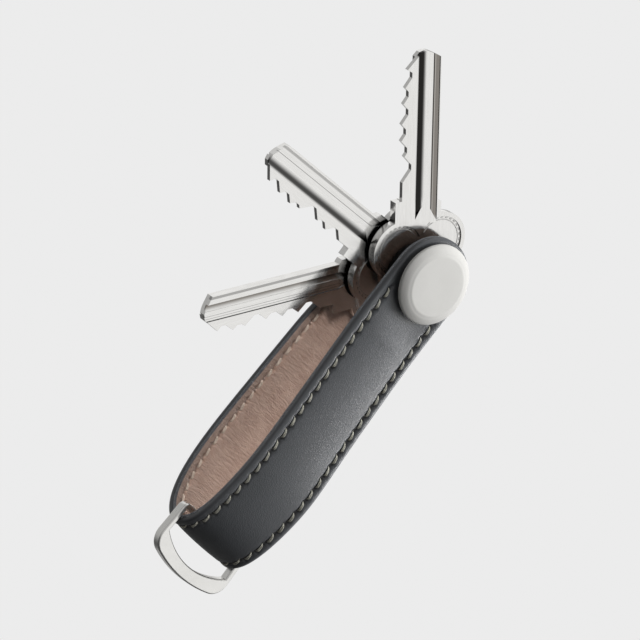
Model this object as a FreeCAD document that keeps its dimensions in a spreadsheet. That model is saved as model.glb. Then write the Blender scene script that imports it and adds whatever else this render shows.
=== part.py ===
import FreeCAD, Part
import math
import os

import Sketcher
from FreeCAD import Placement, Rotation, Vector

# Key organiser: a leather strap folded round a D-ring, with three door keys that turn on a post
# through the strap's two ends.
# Millimetres. The origin is on the post's axis, midway between the strap's outer faces.
# +Y runs along the post to the rear cap, +Z up the strap away from the D-ring, X across the strap.

DRIVING_DIMENSIONS = (
    # strap
    ("strap_width", 20.0),
    ("leather_thickness", 1.2),
    ("lining_thickness", 0.78),
    ("glue_line", 0.02),
    ("stack_half_depth", 7.06),
    ("strap_hole_radius", 3.1),
    ("front_flat_length", 12.0),
    ("rear_flat_length", 9.6),
    # stitching
    ("stitch_inset", 2.15),
    ("thread_width", 0.5),
    ("outer_thread_thickness", 0.35),
    ("lining_thread_thickness", 0.16),
    ("thread_gap", 0.04),
    ("thread_start", 5.5),
    # post, screw and caps
    ("cap_radius", 9.1),
    ("cap_thickness", 2.8),
    ("cap_shoulder_radius", 1.6),
    ("cap_back_round", 1.1),
    ("post_radius", 2.95),
    ("post_bore_radius", 1.9),
    ("post_bore_depth", 11.0),
    ("post_end_inset", 0.16),
    ("flange_radius", 5.5),
    ("flange_thickness", 1.0),
    ("fit_gap", 0.05),
    ("face_gap", 0.02),
    ("screw_crest_radius", 1.85),
    ("screw_root_radius", 1.55),
    ("thread_pitch", 0.7),
    ("screw_turns", 14),
    ("screw_head_radius", 2.4),
    ("screw_head_height", 1.4),
    ("lock_ring_radius", 5.2),
    ("lock_ring_bore", 3.3),
    ("lock_ring_thickness", 0.6),
    ("coin_slot_width", 1.8),
    ("coin_slot_length", 12.0),
    ("coin_slot_depth", 0.9),
    # washers between the keys
    ("spacer_radius", 6.5),
    ("spacer_thickness", 1.18),
    ("washer_radius", 6.0),
    ("key_washer_thickness", 0.76),
    ("rear_washer_thickness", 0.24),
    # keys
    ("key_slot", 2.0),
    ("key_thickness", 1.95),
    ("key_hole_radius", 3.0),
    ("bow_lobe_radius", 6.6),
    ("bow_lobe_forward", 6.9),
    ("bow_lobe_sideways", 5.2),
    ("bow_rim_width", 0.95),
    ("bow_recess_depth", 0.3),
    ("hole_lobe_radius", 6.5),
    ("hole_boss_radius", 4.6),
    ("blade_spine", 4.5),
    # D-ring
    ("ring_depth", 2.2),
    ("ring_offset", -0.5),
    ("ring_pivot_drop", 69.55),
    ("bar_height", 1.4),
    ("arm_thickness", 1.35),
    ("ring_top_half_width", 11.5),
    ("ring_half_width", 11.8),
    ("ring_drop", 12.55),
    ("ring_bottom_height", 2.95),
    ("ring_top_corner", 1.6),
    ("ring_bottom_corner", 4.0),
    ("ring_outer_arc", 32.0),
    ("ring_inner_arc", 19.0),
    ("ring_edge_round", 0.4),
)

# The strap's outer face below the flat ends, as (Y, Z) points the leather passes through.
FRONT_PANEL = ((-7.4, -21.5), (-8.05, -33.0), (-8.65, -44.5), (-8.75, -53.0), (-7.95, -61.0))
FOLD = ((-6.1, -68.3), (-3.6, -72.2), (0.3, -73.85), (4.2, -72.0), (6.9, -68.3))
REAR_PANEL = ((8.95, -61.5), (9.65, -51.0), (9.35, -40.0), (8.9, -29.0), (8.15, -18.5))

# Each key: label, direction at rest (degrees in the XZ plane, from +X towards +Z), length from
# the hole to the tip, the uncut edge's offset from the blade's axis, and its cuts as (distance
# from the hole, depth).
KEYS = (
    ("door_key_1", 136.1, 51.5, -4.85,
     ((25.6, 2.15), (29.7, 0.95), (34.0, 0.55), (38.35, 1.05), (42.5, 1.0), (46.65, 1.85))),
    ("door_key_2", 183.25, 50.2, -4.6,
     ((24.1, 1.6), (28.4, 1.1), (32.5, 2.3), (37.0, 0.6), (40.9, 1.0), (45.3, 1.8))),
    ("door_key_3", 226.5, 51.2, -4.4,
     ((24.6, 2.0), (29.3, 1.5), (33.5, 1.7), (37.9, 2.2), (42.2, 0.9), (46.3, 1.6))),
)
# Grooves along a key's front face: (edge towards the cuts, edge towards the spine, start, depth
# at the cuts' side, depth at the spine's side). Offsets are positive towards the spine.
FRONT_GROOVES = {
    "door_key_1": ((-1.35, 0.65, 13.3, 0.75, 0.0), (2.5, 4.25, 11.8, 0.18, 0.18)),
    "door_key_2": ((-1.3, 0.75, 14.4, 0.75, 0.0), (2.1, 4.0, 13.4, 0.18, 0.18)),
    "door_key_3": ((-1.1, 0.1, 13.8, 0.18, 0.18), (1.3, 2.7, 13.4, 0.05, 0.6)),
}
# The groove along every key's rear face, in the same terms.
REAR_GROOVE = (0.4, 2.2, 14.6, 0.6, 0.0)
# The rear face is milled thin behind the cuts: outline offsets, start and depth.
REAR_RELIEF = (-6.9, -1.7, 18.3, 0.95)
GROOVE_RUN_OUT = 3.2

PARALLEL_STEPS = 48
SAME_PLACE = 1e-4
CUT_FLAT_HALF = 0.6
CUT_SLOPE = 0.85
# The tip's corners, as (distance back from the tip, offset from the blade's axis), between the
# last cut and the spine.
TIP_CORNERS = ((0.3, -0.7), (0.0, 0.8), (1.0, 2.7))
TIP_SLOPE_LENGTH = 2.1
NOSE_LENGTH = 3.4
NOSE_STEP = 0.65
# How far a cutting shape stands clear of what it cuts.
CLEARANCE = 0.2
SHOULDER_END = 18.2
SHOULDER_STEP = 6.5
SPINE_SHOULDER_END = 16.1
SPINE_SHOULDER_STEP = 5.4
SPINE_SHOULDER_SLOPE = 0.7
ALONG_POST = Rotation(Vector(1, 0, 0), -90)

doc = FreeCAD.newDocument("key_organiser")
sheet = doc.addObject("Spreadsheet::Sheet", "Dimensions")
for row, (alias, number) in enumerate(DRIVING_DIMENSIONS, start=1):
    sheet.set(f"A{row}", alias)
    sheet.set(f"B{row}", str(number))
    sheet.setAlias(f"B{row}", alias)
doc.recompute()

sub_parts = []


def size(alias):
    """A driving dimension as a number."""
    return float(sheet.get(alias))


def cell(expression):
    """The expression with each driving dimension's name turned into its cell."""
    words = expression.split(" ")
    return " ".join("Dimensions." + w if w[0].isalpha() else w for w in words)


def new_body(label):
    body = doc.addObject("PartDesign::Body", label)
    body.Label = label
    sub_parts.append(body)
    return body


def new_sketch(body, name, height=None, plane="XY_Plane"):
    """A sketch on one of the body's planes, or parallel to it at the given height."""
    sketch = body.newObject("Sketcher::SketchObject", f"{body.Label}_{name}")
    support = next(f for f in body.Origin.OriginFeatures if f.Role == plane)
    sketch.AttachmentSupport = [(support, "")]
    sketch.MapMode = "FlatFace"
    if height:
        sketch.setExpression("AttachmentOffset.Base.z", cell(height))
    return sketch


def add_circle(sketch, radius, centre=("", "")):
    """A circle whose radius, and centre if it isn't the origin, follow the sheet."""
    guess = Vector(1, 1, 0) if any(centre) else Vector(0, 0, 0)
    curve = sketch.addGeometry(Part.Circle(guess, Vector(0, 0, 1), 1.0), False)
    bound = sketch.addConstraint(Sketcher.Constraint("Radius", curve, 1.0))
    sketch.setExpression(f"Constraints[{bound}]", cell(radius))
    if not any(centre):
        sketch.addConstraint(Sketcher.Constraint("Coincident", curve, 3, -1, 1))
        return
    for kind, distance in zip(("DistanceX", "DistanceY"), centre):
        bound = sketch.addConstraint(Sketcher.Constraint(kind, -1, 1, curve, 3, 1.0))
        sketch.setExpression(f"Constraints[{bound}]", cell(distance))


def add_outline(sketch, points):
    """A closed outline of straight lines."""
    corners = [Vector(x, y, 0) for x, y in points]
    lines = [Part.LineSegment(a, b) for a, b in zip(corners, corners[1:] + corners[:1])]
    sketch.addGeometry(lines, False)


def pad(body, sketch, length, midplane=False, downward=False):
    feature = body.newObject("PartDesign::Pad", f"{sketch.Name}_pad")
    feature.Profile = sketch
    feature.setExpression("Length", cell(length))
    feature.Midplane = midplane
    feature.Reversed = downward
    sketch.Visibility = False
    return feature


def pocket(body, sketch, depth, upward=False):
    """A pocket cut downward from the sketch, or upward. It has to remove material."""
    doc.recompute()
    before = body.Shape.Volume
    feature = body.newObject("PartDesign::Pocket", f"{sketch.Name}_pocket")
    feature.Profile = sketch
    feature.Reversed = upward
    feature.setExpression("Length", cell(depth))
    doc.recompute()
    if body.Shape.Volume >= before:
        raise ValueError(f"{feature.Name} removes nothing")
    return feature


def round_edges(body, radius, wanted):
    """Round the edges of the body's last feature that pass the test."""
    doc.recompute()
    base = body.Tip
    names = [f"Edge{i}" for i, e in enumerate(base.Shape.Edges, start=1) if wanted(e)]
    feature = body.newObject("PartDesign::Fillet", f"{body.Label}_round_{len(body.Group)}")
    feature.Base = (base, names)
    feature.setExpression("Radius", cell(radius))
    base.Visibility = False
    return feature


def is_circle_at(edge, radius, height):
    """Whether an edge is a circle of that radius at that local height."""
    if edge.Curve.TypeId != "Part::GeomCircle":
        return False
    away = max(abs(edge.Curve.Radius - radius), abs(edge.CenterOfMass.z - height))
    return away < SAME_PLACE


def lies_in_plane(edge, heights):
    """Whether an edge lies wholly at one of these local heights."""
    box = edge.BoundBox
    return any(max(abs(box.ZMin - z), abs(box.ZMax - z)) < SAME_PLACE for z in heights)


def place_on_post(body, start):
    """Lay the body's Z axis along the post, with its base at this Y."""
    body.Placement = Placement(Vector(0, 0, 0), ALONG_POST)
    body.setExpression("Placement.Base.y", cell(start))


def ring(label, radius, bore, thickness, start):
    """A flat washer about the post."""
    body = new_body(label)
    profile = new_sketch(body, "profile")
    add_circle(profile, radius)
    add_circle(profile, bore)
    pad(body, profile, thickness)
    place_on_post(body, start)
    return body


# ---------------------------------------------------------------- strap and stitching

def parallel_curve(curve, depth):
    """A curve in the YZ plane, moved sideways towards the inside of the strap's fold."""
    first, last = curve.FirstParameter, curve.LastParameter
    points = []
    for step in range(PARALLEL_STEPS + 1):
        at = first + (last - first) * step / PARALLEL_STEPS
        inward = Vector(1, 0, 0).cross(curve.tangent(at)[0])
        points.append(curve.value(at) + inward * depth)
    moved = Part.BSplineCurve()
    moved.interpolate(Points=points, InitialTangent=Vector(0, 0, -1), FinalTangent=Vector(0, 0, 1))
    return moved


def strap_path(depth, top):
    """The strap's section in the YZ plane, at a depth under its outer face, as edges.

    They run from the front panel's end, round the fold, to the rear panel's end.
    """
    half = size("stack_half_depth")
    front = Vector(0, -half, -size("front_flat_length"))
    rear = Vector(0, half, -size("rear_flat_length"))
    through = [Vector(0, y, z) for y, z in FRONT_PANEL + FOLD + REAR_PANEL]
    curve = Part.BSplineCurve()
    curve.interpolate(
        Points=[front] + through + [rear],
        InitialTangent=Vector(0, 0, -1),
        FinalTangent=Vector(0, 0, 1),
    )
    if depth:
        curve = parallel_curve(curve, depth)
    front, rear = curve.StartPoint, curve.EndPoint
    front_end = Part.LineSegment(Vector(0, front.y, top), front)
    rear_end = Part.LineSegment(rear, Vector(0, rear.y, top))
    return [front_end, curve, rear_end]


def strap_silhouette():
    """The strap seen along the post: straight sides and a round end, as a thick slab."""
    half = size("strap_width") / 2
    deep = 4 * size("stack_half_depth")
    foot = -2 * size("ring_pivot_drop")
    edges = (
        Part.LineSegment(Vector(-half, 0, foot), Vector(-half, 0, 0)),
        Part.Arc(Vector(-half, 0, 0), Vector(0, 0, half), Vector(half, 0, 0)),
        Part.LineSegment(Vector(half, 0, 0), Vector(half, 0, foot)),
        Part.LineSegment(Vector(half, 0, foot), Vector(-half, 0, foot)),
    )
    face = Part.Face(Part.Wire([edge.toShape() for edge in edges]))
    face.translate(Vector(0, -deep / 2, 0))
    return face.extrude(Vector(0, deep, 0))


def strap_band(shallow, deep, left, right, top):
    """A band that follows the strap, from one depth under its outer face to a deeper one.

    A depth below zero stands clear of the face.
    """
    outer, inner = strap_path(shallow, top), strap_path(deep, top)
    front_end = Part.LineSegment(inner[0].StartPoint, outer[0].StartPoint)
    rear_end = Part.LineSegment(outer[-1].EndPoint, inner[-1].EndPoint)
    outline = [front_end, *outer, rear_end, *reversed(inner)]
    section = Part.Face(Part.Wire([line.toShape() for line in outline]))
    section.translate(Vector(left, 0, 0))
    return section.extrude(Vector(right - left, 0, 0))


def add_shape(label, shape):
    feature = doc.addObject("Part::Feature", label)
    feature.Label = label
    feature.Shape = shape
    feature.Placement = Placement()
    sub_parts.append(feature)


def strap_layer(label, shallow, deep):
    """One layer of the strap, with round ends and a hole through each for the post."""
    half = size("strap_width") / 2
    reach = 4 * size("stack_half_depth")
    band = strap_band(shallow, deep, -half, half, half)
    along_post = (Vector(0, -reach / 2, 0), Vector(0, 1, 0))
    hole = Part.makeCylinder(size("strap_hole_radius"), reach, *along_post)
    add_shape(label, band.common(strap_silhouette()).cut(hole))


def stitch_thread(label, shallow, deep, side):
    """A thread that runs along one edge of the strap, as a flat band."""
    centre = side * (size("strap_width") / 2 - size("stitch_inset"))
    half = size("thread_width") / 2
    top = -size("thread_start")
    add_shape(label, strap_band(shallow, deep, centre - half, centre + half, top))


leather = size("leather_thickness")
lining_back = leather + size("glue_line")
lining_face = lining_back + size("lining_thickness")
gap = size("thread_gap")
outer_thick = size("outer_thread_thickness")
lining_thick = size("lining_thread_thickness")
strap_layer("strap_leather", 0, leather)
strap_layer("strap_lining", lining_back, lining_face)
for side_name, side in (("left", -1), ("right", 1)):
    outer = (-gap, -gap - outer_thick)
    lining = (lining_face + gap, lining_face + gap + lining_thick)
    stitch_thread(f"outer_thread_{side_name}", *outer, side)
    stitch_thread(f"lining_thread_{side_name}", *lining, side)

# ---------------------------------------------------------------- post, screw and caps


def front_cap():
    """The plain disc on the front, with a seat behind for the post's flange."""
    body = new_body("front_cap")
    disc = new_sketch(body, "disc")
    add_circle(disc, "cap_radius")
    pad(body, disc, "cap_thickness")
    radius, thickness = size("cap_radius"), size("cap_thickness")
    round_edges(body, "cap_shoulder_radius", lambda e: is_circle_at(e, radius, 0))
    round_edges(body, "cap_back_round", lambda e: is_circle_at(e, radius, thickness))
    seat = new_sketch(body, "seat", "cap_thickness")
    add_circle(seat, "flange_radius + fit_gap")
    pocket(body, seat, "flange_thickness")
    place_on_post(body, "0 - stack_half_depth - cap_thickness")


def post_barrel():
    """The flanged, internally threaded barrel that the keys turn on. The bore is plain."""
    body = new_body("post_barrel")
    flange = new_sketch(body, "flange")
    add_circle(flange, "flange_radius")
    pad(body, flange, "flange_thickness")
    length = "flange_thickness + 2 * stack_half_depth - post_end_inset"
    barrel = new_sketch(body, "barrel")
    add_circle(barrel, "post_radius")
    pad(body, barrel, length)
    bore = new_sketch(body, "bore", length)
    add_circle(bore, "post_bore_radius")
    pocket(body, bore, "post_bore_depth")
    place_on_post(body, "0 - stack_half_depth - flange_thickness")


def rear_cap():
    """The disc on the back, turned with a coin, with seats for the lock ring and screw head."""
    body = new_body("rear_cap")
    disc = new_sketch(body, "disc")
    add_circle(disc, "cap_radius")
    pad(body, disc, "cap_thickness")
    radius, thickness = size("cap_radius"), size("cap_thickness")
    round_edges(body, "cap_shoulder_radius", lambda e: is_circle_at(e, radius, thickness))
    round_edges(body, "cap_back_round", lambda e: is_circle_at(e, radius, 0))
    ring_seat = new_sketch(body, "ring_seat")
    add_circle(ring_seat, "lock_ring_radius + fit_gap")
    pocket(body, ring_seat, "lock_ring_thickness + face_gap", upward=True)
    head_seat = new_sketch(body, "head_seat")
    add_circle(head_seat, "screw_head_radius + fit_gap")
    pocket(body, head_seat, "screw_head_height", upward=True)
    slot = new_sketch(body, "coin_slot", "cap_thickness")
    half_width = size("coin_slot_width") / 2
    reach = size("coin_slot_length") / 2 - half_width
    right, left = Vector(reach, 0, 0), Vector(-reach, 0, 0)
    up, out = Vector(0, half_width, 0), Vector(half_width, 0, 0)
    slot.addGeometry([
        Part.LineSegment(left + up, right + up),
        Part.Arc(right + up, right + out, right - up),
        Part.LineSegment(right - up, left - up),
        Part.Arc(left - up, left - out, left + up),
    ], False)
    pocket(body, slot, "coin_slot_depth")
    place_on_post(body, "stack_half_depth + face_gap")


def rear_screw():
    """The screw fixed in the rear cap. Its thread is drawn as rings, not as a helix."""
    body = new_body("rear_screw")
    profile = body.newObject("Sketcher::SketchObject", "rear_screw_profile")
    plane = next(f for f in body.Origin.OriginFeatures if f.Role == "XZ_Plane")
    profile.AttachmentSupport = [(plane, "")]
    profile.MapMode = "FlatFace"
    crest, root, pitch = size("screw_crest_radius"), size("screw_root_radius"), size("thread_pitch")
    shank = size("screw_turns") * pitch
    points = [(0, 0), (root, 0)]
    for turn in range(int(size("screw_turns"))):
        points += [(crest, (turn + 0.5) * pitch), (root, (turn + 1) * pitch)]
    head_top = shank + size("screw_head_height")
    head_radius = size("screw_head_radius")
    points += [(head_radius, shank), (head_radius, head_top), (0, head_top)]
    add_outline(profile, points)
    turned = body.newObject("PartDesign::Revolution", "rear_screw_turned")
    turned.Profile = profile
    turned.ReferenceAxis = (profile, ["V_Axis"])
    turned.Angle = 360.0
    place_on_post(body, "stack_half_depth + face_gap - screw_turns * thread_pitch")


front_cap()
post_barrel()
rear_cap()
rear_screw()
ring("rear_lock_ring", "lock_ring_radius", "lock_ring_bore", "lock_ring_thickness",
     "stack_half_depth + face_gap")

# ---------------------------------------------------------------- washers on the post

front_inner = "0 - stack_half_depth + leather_thickness + glue_line + lining_thickness"
first_slot = front_inner + " + 2 * spacer_thickness"
post_hole = "post_radius + fit_gap"
ring("front_spacer_1", "spacer_radius", post_hole, "spacer_thickness", front_inner)
ring("front_spacer_2", "spacer_radius", post_hole, "spacer_thickness",
     front_inner + " + spacer_thickness")
ring("key_washer_1", "washer_radius", post_hole, "key_washer_thickness",
     first_slot + " + key_slot")
ring("key_washer_2", "washer_radius", post_hole, "key_washer_thickness",
     first_slot + " + 2 * key_slot + key_washer_thickness")
ring("rear_washer", "washer_radius", post_hole, "rear_washer_thickness",
     first_slot + " + 3 * key_slot + 2 * key_washer_thickness")

# ---------------------------------------------------------------- keys


def bitting(cuts, edge):
    """The cut edge of a blade from its first cut to its last, as (along, across) points."""
    first_place, first_depth = cuts[0]
    points = [(first_place - CUT_FLAT_HALF - first_depth / CUT_SLOPE, edge)]
    for index, (place, depth) in enumerate(cuts):
        floor = edge + depth
        points += [(place - CUT_FLAT_HALF, floor), (place + CUT_FLAT_HALF, floor)]
        if index + 1 == len(cuts):
            break
        next_place, next_depth = cuts[index + 1]
        peak = (place + next_place + (depth - next_depth) / CUT_SLOPE) / 2
        points.append((peak, floor - CUT_SLOPE * (peak - place - CUT_FLAT_HALF)))
    return points


def blade_outline(length, edge, cuts):
    """The neck, shoulders, cuts and tip of a key, as (along, across) points."""
    spine = size("blade_spine")
    neck = size("bow_lobe_forward")
    tip = [(length - x, y) for x, y in TIP_CORNERS]
    return [
        (neck, SPINE_SHOULDER_STEP),
        (neck, -SHOULDER_STEP),
        (SHOULDER_END, -SHOULDER_STEP),
        (SHOULDER_END, edge),
        *bitting(cuts, edge),
        (length - NOSE_LENGTH, edge + NOSE_STEP),
        *tip,
        (length - TIP_SLOPE_LENGTH, spine),
        (SPINE_SHOULDER_END + SPINE_SHOULDER_SLOPE, spine),
        (SPINE_SHOULDER_END, SPINE_SHOULDER_STEP),
    ]


def groove_section(low, high, face, into, low_depth, high_depth):
    """A groove's section as curves, with a flat floor or one arched between its edges."""
    above = face - into * CLEARANCE
    low_floor, high_floor = face + into * low_depth, face + into * high_depth
    corners = [
        Vector(high, high_floor, 0),
        Vector(high, above, 0),
        Vector(low, above, 0),
        Vector(low, low_floor, 0),
    ]
    walls = [Part.LineSegment(p, q) for p, q in zip(corners, corners[1:])]
    if low_depth == high_depth:
        return walls + [Part.LineSegment(corners[3], corners[0])]
    middle = Vector((low + high) / 2, (low_floor + 3 * high_floor) / 4, 0)
    return walls + [Part.Arc(corners[3], middle, corners[0])]


def run_a_groove(body, name, groove, rear, reach):
    """Cut a groove along a face of the blade to past its tip, with a slanting start."""
    low, high, start, low_depth, high_depth = groove
    face, into = (size("key_thickness"), -1) if rear else (0, 1)
    section = new_sketch(body, name, plane="YZ_Plane")
    section.AttachmentOffset.Base = Vector(0, 0, start)
    section.addGeometry(groove_section(low, high, face, into, low_depth, high_depth), False)
    pocket(body, section, str(reach - start), upward=True)
    first, last = (high, low) if low_depth == high_depth else (low, high)
    before = start - CLEARANCE
    fill = new_sketch(body, f"{name}_start", "key_thickness" if rear else None)
    run_out = start + GROOVE_RUN_OUT
    add_outline(fill, [(before, first), (start, first), (run_out, last), (before, last)])
    pad(body, fill, "key_thickness / 2", downward=rear)


def door_key(label, slot_start, direction, length, edge, cuts):
    """A cylinder-lock key with a three-lobed bow, a shoulder, cuts and milled grooves.

    Local X runs from the hole to the tip, local Y to the spine, local Z through the thickness.
    """
    body = new_body(label)
    for name, radius, centre in (
        ("hole_lobe", "hole_lobe_radius", ("", "")),
        ("spine_lobe", "bow_lobe_radius", ("bow_lobe_forward", "bow_lobe_sideways")),
        ("cut_lobe", "bow_lobe_radius", ("bow_lobe_forward", "0 - bow_lobe_sideways")),
    ):
        lobe = new_sketch(body, name)
        add_circle(lobe, radius, centre)
        pad(body, lobe, "key_thickness")
    blade = new_sketch(body, "blade")
    add_outline(blade, blade_outline(length, edge, cuts))
    pad(body, blade, "key_thickness")

    for face, height, upward in (("front", None, True), ("rear", "key_thickness", False)):
        for name, sideways in (("spine", "bow_lobe_sideways"), ("cut", "0 - bow_lobe_sideways")):
            recess = new_sketch(body, f"{face}_{name}_recess", height)
            add_circle(recess, "bow_lobe_radius - bow_rim_width", ("bow_lobe_forward", sideways))
            pocket(body, recess, "bow_recess_depth", upward)
    boss = new_sketch(body, "boss")
    add_circle(boss, "hole_boss_radius")
    pad(body, boss, "key_thickness")

    past_tip = length + CLEARANCE
    for index, groove in enumerate(FRONT_GROOVES[label]):
        run_a_groove(body, f"front_groove_{index}", groove, rear=False, reach=past_tip)
    run_a_groove(body, "rear_groove", REAR_GROOVE, rear=True, reach=past_tip)
    low, high, start, depth = REAR_RELIEF
    relief = new_sketch(body, "rear_relief", "key_thickness")
    add_outline(relief, [(start, low), (past_tip, low), (past_tip, high), (start, high)])
    pocket(body, relief, str(depth), upward=False)

    hole = new_sketch(body, "hole")
    add_circle(hole, "key_hole_radius")
    pocket(body, hole, "key_thickness", upward=True)

    turned = Rotation(Vector(0, -1, 0), direction).multiply(ALONG_POST)
    body.Placement = Placement(Vector(0, 0, 0), turned)
    body.setExpression("Placement.Base.y", cell(slot_start))


side_play = " + key_slot / 2 - key_thickness / 2"
for index, (label, direction, length, edge, cuts) in enumerate(KEYS):
    slot = f" + {index} * key_slot + {index} * key_washer_thickness"
    door_key(label, first_slot + slot + side_play, direction, length, edge, cuts)

# ---------------------------------------------------------------- D-ring


def ring_corner(side):
    """Where a bottom corner's arc leaves the arm, its middle and where it meets the bottom."""
    half, corner = size("ring_half_width"), size("ring_bottom_corner")
    arc = size("ring_outer_arc")
    arc_centre = arc - size("ring_drop")
    across = half - corner
    drop = math.sqrt((arc - corner) ** 2 - across ** 2)
    centre = Vector(across, arc_centre - drop, 0)
    arm_end = centre + Vector(corner, 0, 0)
    foot = centre + Vector(across, -drop, 0) * (corner / (arc - corner))
    middle = centre + ((arm_end - centre) + (foot - centre)).normalize() * corner
    return [Vector(side * p.x, p.y, 0) for p in (arm_end, middle, foot)]


def d_ring():
    """A flat D-shaped ring: a straight bar in the strap's fold, two thin arms and a curved foot.

    Local X is across the strap and local Y is up, from the bar's centre.
    """
    body = new_body("d_ring")
    sketch = new_sketch(body, "outline")
    top = size("bar_height") / 2
    shoulder = size("ring_top_half_width")
    corner = size("ring_top_corner")
    corner_middle = corner * (1 - math.sqrt(0.5))
    left_arm, left_middle, left_foot = ring_corner(-1)
    right_arm, right_middle, right_foot = ring_corner(1)
    bottom = Vector(0, -size("ring_drop"), 0)
    top_left = [
        Vector(-shoulder, top - corner, 0),
        Vector(-shoulder + corner_middle, top - corner_middle, 0),
        Vector(-shoulder + corner, top, 0),
    ]
    top_right = [Vector(-p.x, p.y, 0) for p in reversed(top_left)]
    sketch.addGeometry([
        Part.Arc(*top_left),
        Part.LineSegment(top_left[2], top_right[0]),
        Part.Arc(*top_right),
        Part.LineSegment(top_right[2], right_arm),
        Part.Arc(right_arm, right_middle, right_foot),
        Part.Arc(right_foot, bottom, left_foot),
        Part.Arc(left_foot, left_middle, left_arm),
        Part.LineSegment(left_arm, top_left[0]),
    ], False)

    arm = size("arm_thickness")
    inner_top = shoulder - arm
    inner_bottom = size("ring_half_width") - arm
    arc = size("ring_inner_arc")
    lowest = size("ring_bottom_height") - size("ring_drop")
    inner_end = lowest + arc - math.sqrt(arc ** 2 - inner_bottom ** 2)
    inner = [
        Vector(-inner_top, -top, 0),
        Vector(inner_top, -top, 0),
        Vector(inner_bottom, inner_end, 0),
        Vector(-inner_bottom, inner_end, 0),
    ]
    sketch.addGeometry([
        Part.LineSegment(inner[0], inner[1]),
        Part.LineSegment(inner[1], inner[2]),
        Part.Arc(inner[2], Vector(0, lowest, 0), inner[3]),
        Part.LineSegment(inner[3], inner[0]),
    ], False)
    pad(body, sketch, "ring_depth", midplane=True)
    faces = (-size("ring_depth") / 2, size("ring_depth") / 2)
    round_edges(body, "ring_edge_round", lambda e: lies_in_plane(e, faces))
    body.Placement = Placement(Vector(0, 0, 0), Rotation(Vector(1, 0, 0), 90))
    body.setExpression("Placement.Base.y", cell("ring_offset"))
    body.setExpression("Placement.Base.z", cell("0 - ring_pivot_drop"))


d_ring()

# ---------------------------------------------------------------- check and export

doc.recompute()
for thing in doc.Objects:
    bad = {"Invalid", "Error"} & set(thing.State)
    if bad:
        raise ValueError(f"{thing.Name}: {bad}")
os.makedirs("parts", exist_ok=True)
for part in sub_parts:
    if part.Shape.isNull() or not part.Shape.isValid():
        raise ValueError(f"{part.Label}: bad shape")
    part.Shape.exportStep(f"parts/{part.Label}.step")
    print(part.Label, round(part.Shape.Volume, 2), part.Shape.BoundBox)
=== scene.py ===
import math

import bmesh
import bpy
import numpy as np
from mathutils import Matrix, Vector, noise


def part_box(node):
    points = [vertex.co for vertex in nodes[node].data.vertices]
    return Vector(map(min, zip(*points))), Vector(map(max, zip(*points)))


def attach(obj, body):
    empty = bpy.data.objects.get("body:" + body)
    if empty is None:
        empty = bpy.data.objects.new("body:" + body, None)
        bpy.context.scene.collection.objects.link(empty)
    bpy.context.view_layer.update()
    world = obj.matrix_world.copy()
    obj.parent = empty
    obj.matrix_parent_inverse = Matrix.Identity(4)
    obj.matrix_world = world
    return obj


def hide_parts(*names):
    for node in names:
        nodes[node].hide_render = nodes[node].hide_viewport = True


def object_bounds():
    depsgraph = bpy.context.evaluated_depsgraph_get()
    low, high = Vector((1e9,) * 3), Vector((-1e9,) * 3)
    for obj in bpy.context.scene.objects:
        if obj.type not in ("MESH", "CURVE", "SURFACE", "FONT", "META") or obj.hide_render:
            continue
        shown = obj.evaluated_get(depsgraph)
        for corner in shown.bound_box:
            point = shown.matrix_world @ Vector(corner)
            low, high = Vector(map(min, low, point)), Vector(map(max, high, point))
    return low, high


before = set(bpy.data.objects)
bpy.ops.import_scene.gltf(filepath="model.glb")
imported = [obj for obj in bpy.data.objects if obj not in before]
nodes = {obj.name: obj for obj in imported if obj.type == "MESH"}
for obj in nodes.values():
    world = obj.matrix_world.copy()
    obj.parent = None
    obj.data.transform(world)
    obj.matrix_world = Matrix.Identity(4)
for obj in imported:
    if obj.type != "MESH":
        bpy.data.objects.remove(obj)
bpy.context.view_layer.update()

# Key organiser: a folded leather strap with stitched edges, three keys on a post between two
# round caps, and a D-ring in the fold. Shapes are worked out in millimetres from the middle of
# the post, with +X across the strap, +Y to the rear cap and +Z up the strap, and written to the
# meshes in metres.
MM = 0.001
SEED = 11

scene = bpy.context.scene


def box_mm(node):
    """A CAD node's lowest and highest corners in millimetres."""
    low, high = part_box(node)
    return low / MM, high / MM


# The strap's sizes in millimetres, from its CAD nodes and the ones that lie against it.
HALF_WIDTH = box_mm("strap_leather")[1].x
FRONT_FACE = box_mm("front_cap")[1].y
LINING_FACE = box_mm("front_spacer_1")[0].y
STRAP_THICKNESS = LINING_FACE - FRONT_FACE
LEATHER_THICKNESS = 0.6 * STRAP_THICKNESS
GLUE_LINE = 0.02
STITCH_LINE = (box_mm("outer_thread_right")[0].x + box_mm("outer_thread_right")[1].x) / 2
STITCH_TOP = box_mm("outer_thread_right")[1].z

# ---------------------------------------------------------------- meshes


def smoothstep(low, high, value):
    """0 up to low and 1 from high on, smooth between; it falls where high is under low."""
    t = np.clip((value - low) / (high - low), 0, 1)
    return t * t * (3 - 2 * t)


def add_piece(name, vertices_mm, faces, body):
    """A mesh piece from millimetre points, riding on a CAD body."""
    mesh = bpy.data.meshes.new(name)
    mesh.from_pydata((np.asarray(vertices_mm, float) * MM).tolist(), [], faces)
    mesh.update()
    mesh.polygons.foreach_set("use_smooth", [True] * len(mesh.polygons))
    piece = bpy.data.objects.new(name, mesh)
    scene.collection.objects.link(piece)
    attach(piece, body)
    return piece


def grid_faces(rows, columns, first=0, closed=True):
    """Quads between the neighbouring rows of a grid, wrapped across if it is closed."""
    faces = []
    for row in range(rows - 1):
        for column in range(columns if closed else columns - 1):
            beside = (column + 1) % columns
            a, b = first + row * columns, first + (row + 1) * columns
            faces.append((a + column, b + column, b + beside, a + beside))
    return faces


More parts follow.
